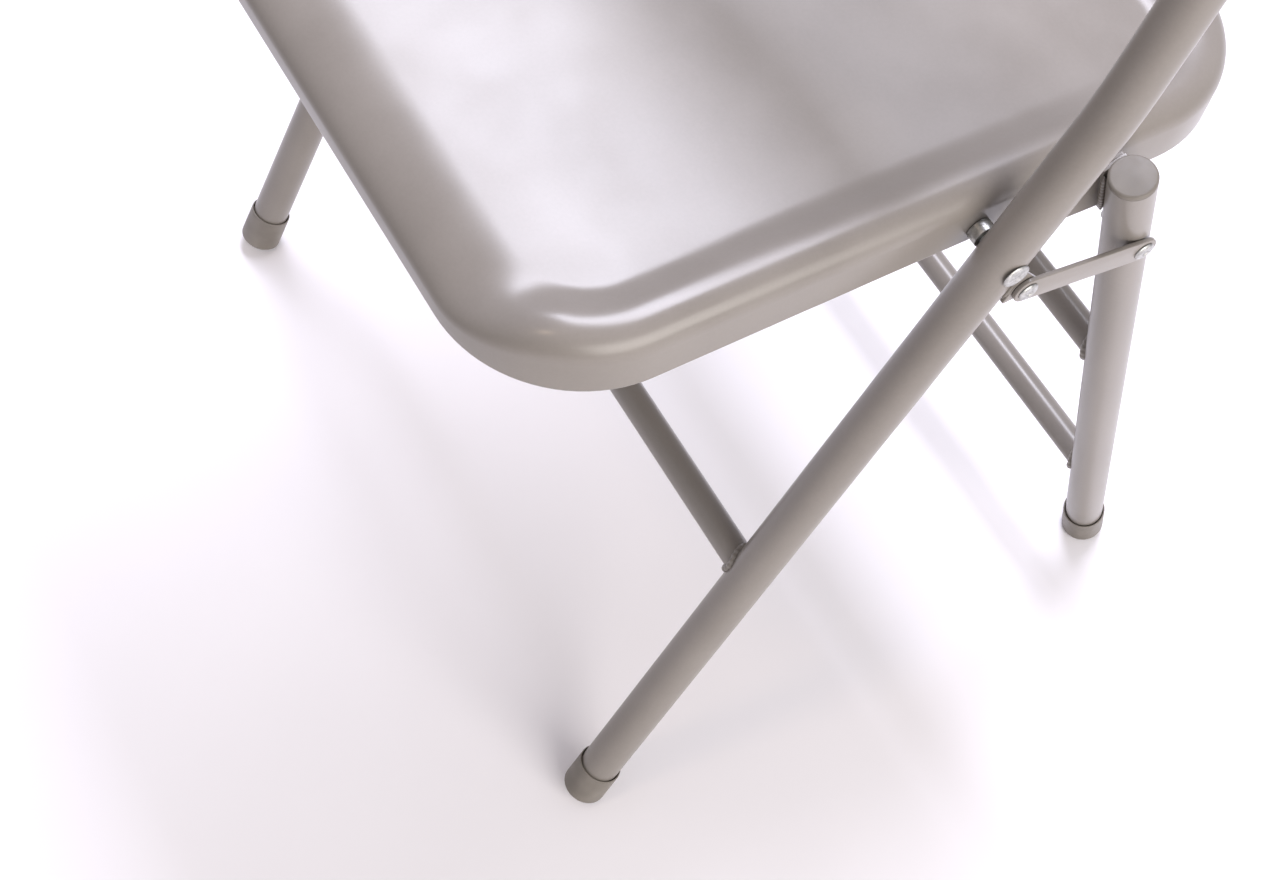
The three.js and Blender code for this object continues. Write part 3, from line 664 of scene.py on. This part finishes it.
def foot_lift(lean):
    """Up the leg's axis from the floor to the cap's end, with the cap's round edge on the floor."""
    reach = (CAP_RADIUS - CAP_EDGE) * math.cos(lean) + CAP_EDGE - CAP_SINK
    return reach / math.sin(lean) - CAP_EDGE


def front_tube():
    """The front legs, uprights and top bar as one tube bent at four corners."""
    start = leg_at(0) + LEG_UP * (foot_lift(LEG_LEAN) + CAP_FLOOR + GAP)
    top = back_at(cad_high[2] / MM - TUBE_RADIUS)
    half = [point + X_AXIS * LEG_X for point in (start, BACK_BEND, top)]
    corners = half + [point * [-1, 1, 1] for point in half[::-1]]
    radii = [BACK_BEND_RADIUS, TOP_CORNER, TOP_CORNER, BACK_BEND_RADIUS]
    points, tangents = bent_line(corners, radii)
    return tube(points, tangents, X_AXIS, TUBE_RADIUS, TUBE_WALL)


def rear_tube(sign):
    """A straight rear leg."""
    foot = rear_leg_at(REAR_LEG_LENGTH - foot_lift(-REAR_LEG_ANGLE) - CAP_FLOOR - GAP)
    ends = np.array([foot, rear_leg_at(-REAR_LEG_TOP)]) + X_AXIS * sign * LEG_X
    tangents = np.repeat(-REAR_DOWN[None], 2, 0)
    return tube(ends, tangents, X_AXIS, TUBE_RADIUS, TUBE_WALL)


def coped_reach(radius, angle):
    """How far out a bar's wall runs before it meets the leg: the saddle cut of two crossed tubes."""
    return LEG_X - np.sqrt((TUBE_RADIUS + GAP / 2) ** 2 - (radius * np.sin(angle)) ** 2)


def cross_bar(point, leg_direction):
    """A crossbar between the legs, its ends coped to them, with its bore."""
    angle = np.linspace(0, 2 * math.pi, ROUND, endpoint=False)
    other = np.cross(X_AXIS, leg_direction)
    spokes = np.cos(angle)[:, None] * leg_direction + np.sin(angle)[:, None] * other
    rings = []
    for radius, way in ((BAR_RADIUS, 1), (BAR_RADIUS - BAR_WALL, -1)):
        for share in np.linspace(-1, 1, 9) * way:
            reach = share * coped_reach(radius, angle)
            rings.append(point + radius * spokes + reach[:, None] * X_AXIS)
    return ring_solid(np.array(rings), closed=True)


def saddle_bead(point, leg_direction, sign, seed):
    """The weld round a crossbar's end, along the saddle where it meets the leg."""
    angle = np.linspace(0, 2 * math.pi, 144, endpoint=False)
    other = np.cross(X_AXIS, leg_direction)
    spokes = np.cos(angle)[:, None] * leg_direction + np.sin(angle)[:, None] * other
    radius = BAR_RADIUS + BEAD_LIFT
    reach = coped_reach(radius, angle) - BEAD_SINK
    path = point + radius * spokes + sign * reach[:, None] * X_AXIS
    return bead(path, spokes, BEAD_RADIUS, seed)


def bars_with_welds(paint, weld):
    """The three crossbars and the beads at their six ends."""
    bars = [("front_crossbar", "front_frame", leg_at(FRONT_BAR_HEIGHT), LEG_UP)]
    for name, down in REAR_BAR_PLACES.items():
        bars.append((f"rear_crossbar_{name}", "rear_frame", rear_leg_at(down), REAR_DOWN))
    for seed, (node, body, point, direction) in enumerate(bars):
        piece(f"{node}_tube", cross_bar(point, direction), body, paint, [node])
        for side, sign in SIDES.items():
            solid = saddle_bead(point, direction, sign, 2.1 * seed + sign)
            piece(f"{node}_weld_{side}", solid, body, weld, sharp=60)


def foot_cap(floor_point, up, lean):
    """A slip-on cap: a lathe-turned cup whose end is worn flat where it stands on the floor."""
    inner = TUBE_RADIUS + CAP_FIT
    edge = arc((CAP_RADIUS - CAP_EDGE, CAP_EDGE), CAP_EDGE, -math.pi / 2, 0, 12)
    rim = arc((CAP_RADIUS - CAP_DRAFT - CAP_RIM, CAP_LENGTH - CAP_RIM), CAP_RIM, 0, math.pi, 8)
    rim[:, 0] = np.maximum(rim[:, 0], inner + CAP_MOUTH)
    profile = np.vstack([[[ON_AXIS, 0]], edge, [[CAP_RADIUS - CAP_DRAFT, CAP_LENGTH - 0.6]], rim,
                         [[inner + CAP_MOUTH, CAP_LENGTH - 1.0], [inner, CAP_FLOOR], [ON_AXIS, CAP_FLOOR]]])
    points, faces = lathe(profile, floor_point + up * foot_lift(lean), up, ROUND)
    points[:, 2] = np.maximum(points[:, 2], 0)
    return points, faces


def end_plug():
    """The plug in a rear leg's open top: a rounded flange on a stem."""
    inner = TUBE_RADIUS - TUBE_WALL - GAP
    flange = arc((TUBE_RADIUS - PLUG_EDGE, PLUG_FLANGE - PLUG_EDGE), PLUG_EDGE, 0, math.pi / 2, 8)
    stem = [[ON_AXIS, -PLUG_DEPTH], [inner, -PLUG_DEPTH], [inner, GAP], [TUBE_RADIUS, GAP]]
    profile = np.vstack([stem, flange, [[ON_AXIS, PLUG_FLANGE]]])
    return lathe(profile, rear_leg_at(-REAR_LEG_TOP) + X_AXIS * LEG_X, -REAR_DOWN, ROUND)


def frame_pieces(paint, weld, plastic):
    """The bent front tube, the rear legs, the crossbars and all that closes the tubes' ends."""
    piece("bent_front_tube", front_tube(), "front_frame", paint, ["front_frame_tube"])
    bars_with_welds(paint, weld)
    for side, sign in SIDES.items():
        piece(f"rear_leg_{side}", rear_tube(sign), "rear_frame", paint, [f"rear_leg_tube_{side}"])
        front = foot_cap(leg_at(0) + X_AXIS * sign * LEG_X, LEG_UP, LEG_LEAN)
        piece(f"front_cap_{side}", front, "front_frame", plastic, [f"front_foot_cap_{side}"])
        rear = foot_cap(REAR_FOOT + X_AXIS * sign * LEG_X, -REAR_DOWN, -REAR_LEG_ANGLE)
        piece(f"rear_cap_{side}", rear, "rear_frame", plastic, [f"rear_foot_cap_{side}"])
        plug = mirrored(end_plug(), sign)
        piece(f"rear_plug_{side}", plug, "rear_frame", plastic, [f"rear_leg_plug_{side}"])


# ---------- back rest ----------
def back_plan(steps=40, wrap_steps=18):
    """The back rest's middle line seen along the uprights, as (x, behind): a dish that rolls
    round the front and outside of each upright."""
    wrap = TUBE_RADIUS + GAP + SHEET / 2
    dish = (LEG_X - wrap * math.sin(PANEL_END_ANGLE)) / math.sin(PANEL_END_ANGLE)
    centre = -(wrap + dish) * math.cos(PANEL_END_ANGLE)
    middle = arc((0, centre), dish, math.pi / 2 + PANEL_END_ANGLE, math.pi / 2 - PANEL_END_ANGLE, steps)
    roll = arc((LEG_X, 0), wrap, -math.pi / 2 - PANEL_END_ANGLE, -math.pi / 2 + PANEL_WRAP, wrap_steps)[1:]
    return np.vstack([roll[::-1] * [-1, 1], middle, roll])


def back_rest():
    """The back rest: its plan line carried up the uprights, with its long edges rolled back.

    A rolled edge is an arc of fixed length whose turn fades to nothing beside the uprights.
    """
    plan = back_plan()
    along = np.gradient(plan, axis=0)
    along = along / np.linalg.norm(along, axis=1, keepdims=True)
    behind = np.column_stack([-along[:, 1], along[:, 0]])
    clear = np.clip((LEG_X - TUBE_RADIUS - HEM_CLEARANCE - np.abs(plan[:, 0])) / HEM_FADE, 0, 1)
    fade = clear * clear * (3 - 2 * clear)
    bottom, height = back_at(PANEL_BOTTOM), (PANEL_TOP - PANEL_BOTTOM) / BACK_UP[2]
    length = np.linspace(0, HEM_LENGTH, 13)
    curve = np.maximum(HEM_TURN * fade, 1e-4)[:, None] / HEM_LENGTH
    rise = np.sin(curve * length) / curve
    depth = (1 - np.cos(curve * length)) / curve
    flat = np.linspace(HEM_LENGTH, height - HEM_LENGTH, 24)[None, 1:-1] * np.ones((len(plan), 1))
    up = np.hstack([HEM_LENGTH - rise[:, ::-1], flat, height - HEM_LENGTH + rise])
    back = np.hstack([depth[:, ::-1], np.zeros_like(flat), depth])
    mid = (bottom + plan[:, None, 0:1] * X_AXIS + plan[:, None, 1:2] * BACK_BEHIND
           + up[..., None] * BACK_UP
           + back[..., None] * (behind[:, None, 0:1] * X_AXIS + behind[:, None, 1:2] * BACK_BEHIND))
    return thick_sheet(mid, SHEET)


def thick_sheet(mid, thickness):
    """A sheet of even thickness about a grid of points, with round long edges, as a closed solid.

    Each station's ring goes along one face, round the edge by half a circle, and back.
    """
    across = np.gradient(mid, axis=0)
    along = np.gradient(mid, axis=1)
    normal = np.cross(across, along)
    normal = normal / np.linalg.norm(normal, axis=2, keepdims=True)
    along = along / np.linalg.norm(along, axis=2, keepdims=True)
    half = thickness / 2
    front, rear = normal[:, :1], normal[:, -1:]
    turn = np.linspace(0, math.pi, 6)[1:-1]
    last = [mid[:, -1:] + half * (np.cos(a) * rear + np.sin(a) * along[:, -1:]) for a in turn]
    first = [mid[:, :1] - half * (np.cos(a) * front + np.sin(a) * along[:, :1]) for a in turn]
    faces = [mid + half * normal, *last, (mid - half * normal)[:, ::-1], *first]
    return ring_solid(np.concatenate(faces, axis=1))


def back_rivet(sign, height):
    """A dome-headed rivet through the back rest and the upright behind it."""
    tail = TUBE_RADIUS + GAP
    seat_at = TUBE_RADIUS + SHEET + 2 * GAP
    dome = arc((0, 0), 1.0, 0.12, math.pi / 2 - 0.02, 10) * [BACK_RIVET_HEAD, BACK_RIVET_DOME] + [0, seat_at]
    foot = -tail - HEAD_THICKNESS
    shank = [[ON_AXIS, foot], [BACK_RIVET_TAIL - 0.3, foot], [BACK_RIVET_TAIL, -tail - 1.1],
             [BACK_RIVET_TAIL, -tail], [BACK_RIVET_SHANK, -tail], [BACK_RIVET_SHANK, seat_at],
             [BACK_RIVET_HEAD, seat_at]]
    profile = np.vstack([shank, dome])
    return lathe(profile, back_at(height) + X_AXIS * sign * LEG_X, -BACK_BEHIND)


def back_pieces(paint, zinc):
    """The back rest and its four rivets."""
    piece("rolled_back_rest", back_rest(), "front_frame", paint, ["back_panel"])
    heights = {"lower": PANEL_BOTTOM + PANEL_RIVET_MARGIN, "upper": PANEL_TOP - PANEL_RIVET_MARGIN}
    for level, height in heights.items():
        for side, sign in SIDES.items():
            node = f"back_rivet_{level}_{side}"
            piece(f"{node}_head", back_rivet(sign, height), "front_frame", zinc, [node])


# ---------- folding hardware ----------
def small_corners(corners, radius):
    """Discs for the corners of a convex plate, put in counter-clockwise order."""
    flat = np.array([corner[1:] for corner in corners])
    following = np.roll(flat, -1, 0)
    area = np.sum(flat[:, 0] * following[:, 1] - flat[:, 1] * following[:, 0])
    flat = flat if area > 0 else flat[::-1]
    return [(corner, radius) for corner in flat]


def line_bead(start, stop, normal, radius, seed):
    """A straight weld bead between two points."""
    share = np.linspace(0, 1, 90)[:, None]
    path = start * (1 - share) + stop * share
    return bead(path, np.repeat(np.array(normal)[None], len(path), 0), radius, seed, closed=False)


STOP_PLACE = (SEAT_PIVOT + SEAT_REARWARD * ((REAR_PIVOT - SEAT_PIVOT) @ SEAT_REARWARD - STOP_REACH)
              - SEAT_UP * (PIVOT_ABOVE_EDGE + GAP + STOP_RADIUS))


def hinge_bracket():
    """The rear leg's hinge plate and the pad between it and the tube."""
    near = REAR_LEG_OFFSET - HINGE_PAD_HALF + PLATE_CORNER
    far = REAR_LEG_OFFSET + HINGE_PAD_HALF - PLATE_CORNER
    discs = [
        (REAR_PIVOT[1:], HINGE_PLATE_END),
        (STOP_PLACE[1:], STOP_RADIUS + STOP_BOSS),
        (rear_leg_at(HINGE_PAD_BOTTOM - PLATE_CORNER, near)[1:], PLATE_CORNER),
        (rear_leg_at(HINGE_PAD_BOTTOM - PLATE_CORNER, far)[1:], PLATE_CORNER),
        (rear_leg_at(HINGE_PAD_TOP + PLATE_CORNER, far)[1:], PLATE_CORNER),
    ]
    flange = plate(discs, hinge_low[0], hinge_low[0] + PLATE)
    corners = [rear_leg_at(down, behind) for down, behind in
               ((HINGE_PAD_TOP + 1, near - 1), (HINGE_PAD_TOP + 1, far + 1),
                (HINGE_PAD_BOTTOM - 1, far + 1), (HINGE_PAD_BOTTOM - 1, near - 1))]
    pad = plate(small_corners(corners, 1.0), hinge_low[0] + PLATE - 0.5, hinge_high[0], 0.3)
    return together(flange, pad)


def hinge_beads(seed):
    """The two beads that join the hinge pad to the tube, one along each of its edges."""
    depth = LEG_X - math.sqrt(TUBE_RADIUS**2 - HINGE_PAD_HALF**2)
    x = (hinge_high[0] + depth) / 2 - 0.4
    beads = []
    for way in (-1, 1):
        behind = REAR_LEG_OFFSET + way * (HINGE_PAD_HALF + 0.2)
        ends = [rear_leg_at(down, behind) + X_AXIS * x for down in (HINGE_PAD_TOP + 2, HINGE_PAD_BOTTOM - 2)]
        beads.append(line_bead(*ends, REAR_BEHIND, HINGE_BEAD_RADIUS, seed + way))
    return together(*beads)


def bracket_plate():
    """The ear on the front leg that the folding link turns on."""
    across = math.sqrt(TUBE_RADIUS**2 - (bracket_low[0] - LEG_X) ** 2) + GAP
    on_axis = LINK_FRONT - LEG_BEHIND * ((LINK_FRONT - SEAT_PIVOT) @ LEG_BEHIND)
    foot = on_axis + LEG_BEHIND * (across + BRACKET_OVERLAP)
    ends = [foot + LEG_UP * way * BRACKET_HALF_FOOT for way in (-1, 1)]
    lower, upper = [(end[1:], BRACKET_OVERLAP) for end in ends]
    discs = [lower, (LINK_FRONT[1:], LINK_HALF_WIDTH), upper]
    return plate(discs, bracket_low[0], bracket_high[0]), on_axis + LEG_BEHIND * across


def stop_stud():
    """The shouldered stud that the seat's edge rests against, riveted over outside its plate."""
    inner, outer = stud_low[0], hinge_low[0] + PLATE + GAP
    shoulder, shank, head = hinge_low[0] - GAP, STOP_RADIUS - 1, STOP_RADIUS + 1
    profile = [[ON_AXIS, inner], [STOP_RADIUS - 0.4, inner], [STOP_RADIUS, inner + 0.4],
               [STOP_RADIUS, shoulder], [shank, shoulder], [shank, outer], [head, outer], [head, outer + 0.6],
               [head - 0.4, outer + 0.95], [ON_AXIS, outer + 1.15]]
    return lathe(profile, STOP_PLACE, X_AXIS)


def folding_pieces(paint, weld, zinc):
    """The hinge plates, stops, link ears and links, with the rivets that they turn on."""
    ear, ear_edge = bracket_plate()
    link_ends = [(point[1:], LINK_HALF_WIDTH) for point in (LINK_FRONT, LINK_REAR)]
    link = plate(link_ends, link_low[0], link_high[0])
    ear_x = (bracket_low[0] + bracket_high[0]) / 2 - 0.5
    ear_ends = [ear_edge + LEG_UP * way * (BRACKET_HALF_FOOT - 1) + X_AXIS * ear_x for way in (-1, 1)]
    for side, sign in SIDES.items():
        hinge = mirrored(hinge_bracket(), sign)
        piece(f"hinge_bracket_{side}", hinge, "rear_frame", paint, [f"hinge_plate_{side}"])
        piece(f"hinge_welds_{side}", mirrored(hinge_beads(sign), sign), "rear_frame", weld, sharp=60)
        stud = mirrored(stop_stud(), sign)
        piece(f"seat_stop_{side}", stud, "rear_frame", zinc, [f"stop_stud_{side}"])
        piece(f"link_ear_{side}", mirrored(ear, sign), "front_frame", paint, [f"link_bracket_{side}"])
        ear_bead = line_bead(*ear_ends, LEG_BEHIND, EAR_BEAD_RADIUS, 3 * sign)
        piece(f"link_ear_weld_{side}", mirrored(ear_bead, sign), "front_frame", weld, sharp=60)
        piece(f"side_link_{side}", mirrored(link, sign), f"link_{side}", paint, [f"folding_link_{side}"])
        pins = [
            ("seat_pivot_rivet", "front_frame", SEAT_PIVOT, plate_low[0], LEG_X + TUBE_RADIUS,
             PIVOT_SHANK, PIVOT_HEAD),
            ("link_front_rivet", "front_frame", LINK_FRONT, bracket_low[0], link_high[0],
             LINK_SHANK, LINK_HEAD),
            ("link_rear_rivet", "rear_frame", LINK_REAR, leg_low[0], link_high[0], LINK_SHANK, LINK_HEAD),
        ]
        for node, body, point, inner, outer, shank, head in pins:
            pin = rivet(point, inner - GAP, outer + GAP, shank, head, sign)
            piece(f"{node}_{side}_pin", pin, body, zinc, [f"{node}_{side}"])
        spacer = collar(SEAT_PIVOT, spacer_low[0], spacer_high[0], PIVOT_SHANK + GAP, SPACER_RADIUS, sign)
        piece(f"pivot_collar_{side}", spacer, "front_frame", zinc, [f"seat_pivot_spacer_{side}"])


# ---------- studio ----------
CAMERA_PLACE = (0.5433, -0.4030, 1.1240)
CAMERA_YAW = math.radians(53.08)
CAMERA_PITCH = math.radians(60.39)
CAMERA_ROLL = math.radians(7.62)
CAMERA_LENS = 57.9


def studio_camera():
    """A camera above the seat's front left corner, looking down across it."""
    yaw, pitch, roll = CAMERA_YAW, CAMERA_PITCH, CAMERA_ROLL
    ahead = Vector((-math.sin(yaw) * math.cos(pitch), math.cos(yaw) * math.cos(pitch), -math.sin(pitch)))
    level = Vector((math.cos(yaw), math.sin(yaw), 0))
    above = level.cross(ahead)
    right = math.cos(roll) * level + math.sin(roll) * above
    up = math.cos(roll) * above - math.sin(roll) * level
    camera = bpy.data.objects.new("studio_camera", bpy.data.cameras.new("studio_camera"))
    camera.data.lens = CAMERA_LENS
    camera.data.sensor_width = 36.0
    turn = Matrix((right, up, -ahead)).transposed().to_4x4()
    camera.matrix_world = Matrix.Translation(CAMERA_PLACE) @ turn
    bpy.context.scene.collection.objects.link(camera)
    bpy.context.scene.camera = camera


def softbox(name, place, target, size, power, colour):
    """A rectangular diffused light that faces a point."""
    light = bpy.data.lights.new(name, "AREA")
    light.shape = "RECTANGLE"
    light.size, light.size_y = size
    light.energy = power
    light.color = linear(colour)[:3]
    lamp = bpy.data.objects.new(name, light)
    lamp.location = place
    lamp.rotation_euler = (Vector(target) - Vector(place)).to_track_quat("-Z", "Y").to_euler()
    bpy.context.scene.collection.objects.link(lamp)


def studio_lights():
    """A strip bank overhead and to the right, a bank on the left, and a small warm lamp."""
    softbox("overhead_strip", (-0.74, 0.53, 1.62), (-0.74, 0.53, 0), (1.42, 0.5), 42, "#f0f0ff")
    softbox("side_bank", (2.1, 0.1, 1.1), (0, 0, 0.4), (1.8, 1.3), 42, "#fffaf5")
    softbox("warm_lamp", (0.09, -0.82, 1.80), (0.17, -0.18, 0.44), (0.22, 0.12), 2.0, "#ffe2c4")


def studio_world():
    """An even, faintly cool white all round."""
    world = bpy.data.worlds.new("white_tent")
    world.use_nodes = True
    background = world.node_tree.nodes["Background"]
    background.inputs["Color"].default_value = linear("#f4f1f6")
    background.inputs["Strength"].default_value = WORLD_STRENGTH
    bpy.context.scene.world = world
    bpy.context.scene.view_settings.view_transform = "Standard"


def studio_floor():
    """A large sheet of matt white paper on the floor."""
    material, tree = new_material("white_paper")
    tone = blended(tree, ramp(tree, grain(tree, 300, 3), 0.3, 0.7, 0, 1), "#f1eff3", "#f6f4f8")
    shader = add(tree, "ShaderNodeBsdfPrincipled", {"Specular IOR Level": 0.2}, Base_Color=tone)
    shader.inputs["Roughness"].default_value = 0.8
    add(tree, "ShaderNodeOutputMaterial", Surface=shader.outputs[0])
    mesh = bpy.data.meshes.new("paper_floor")
    half, drop = 6.0, -0.0003
    mesh.from_pydata([(-half, -half, drop), (half, -half, drop), (half, half, drop), (-half, half, drop)],
                     [], [(0, 1, 2, 3)])
    mesh.materials.append(material)
    floor = bpy.data.objects.new("paper_floor", mesh)
    bpy.context.scene.collection.objects.link(floor)


# ---------- the chair in the studio ----------
studio_camera()
studio_world()
studio_floor()
studio_lights()

grey_coat = powder_coat("powder_coat_warm_grey", "#86807a", "#7e7872")
weld_coat = powder_coat("powder_coat_over_weld", "#807a73", "#716b64")
zinc_steel = zinc_plate()
cap_plastic = moulded_polyethylene()

seat_pieces(grey_coat, zinc_steel)
frame_pieces(grey_coat, weld_coat, cap_plastic)
back_pieces(grey_coat, zinc_steel)
folding_pieces(grey_coat, weld_coat, zinc_steel)
